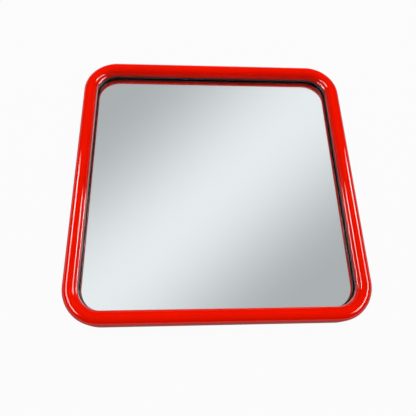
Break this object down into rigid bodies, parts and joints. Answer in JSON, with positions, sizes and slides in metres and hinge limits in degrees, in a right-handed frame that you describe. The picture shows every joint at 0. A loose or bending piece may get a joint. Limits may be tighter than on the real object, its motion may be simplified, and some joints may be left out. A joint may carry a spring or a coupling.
{
  "type": "square wall mirror",
  "caption": "Square wall mirror with rounded corners in a moulded bullnose frame, black bead, and two swinging D-ring hangers on its recessed back.",
  "frame": {"origin": "middle of the back, on the plane of the frame's back rim, which the mirror lies on", "axes": "+Z out of the mirror's face; +Y to the edge that hangs uppermost; +X to the right, seen from the front"},
  "size_m": [0.46, 0.46, 0.032],
  "materials": {
    "red_abs": "gloss",
    "black_bead": "satin",
    "float_glass": "polished",
    "silver_coat": "polished",
    "foam": "matte",
    "hardboard": "matte",
    "zinc_steel": "satin",
    "nickel_steel": "satin"
  },
  "bodies": {
    "mirror": {"front_frame": "red_abs", "glass_gasket": "black_bead", "mirror_glass": "float_glass", "mirror_silvering": "silver_coat", "foam_pad": "foam", "back_panel": "hardboard", "back_panel_screws": "zinc_steel", "left_hanger_strap": "nickel_steel", "left_hanger_rivets": "zinc_steel", "right_hanger_strap": "nickel_steel", "right_hanger_rivets": "zinc_steel"},
    "left_ring": {"left_hanger_ring": "nickel_steel"},
    "right_ring": {"right_hanger_ring": "nickel_steel"}
  },
  "joints": [
    {"name": "left_ring_swing", "type": "hinge", "parent": "mirror", "child": "left_ring", "pos_m": [-0.13, 0.14, 0.00314], "axis": [-1, 0, 0], "range_deg": [-2, 175]},
    {"name": "right_ring_swing", "type": "hinge", "parent": "mirror", "child": "right_ring", "pos_m": [0.13, 0.14, 0.00314], "axis": [-1, 0, 0], "range_deg": [-2, 175]}
  ]
}
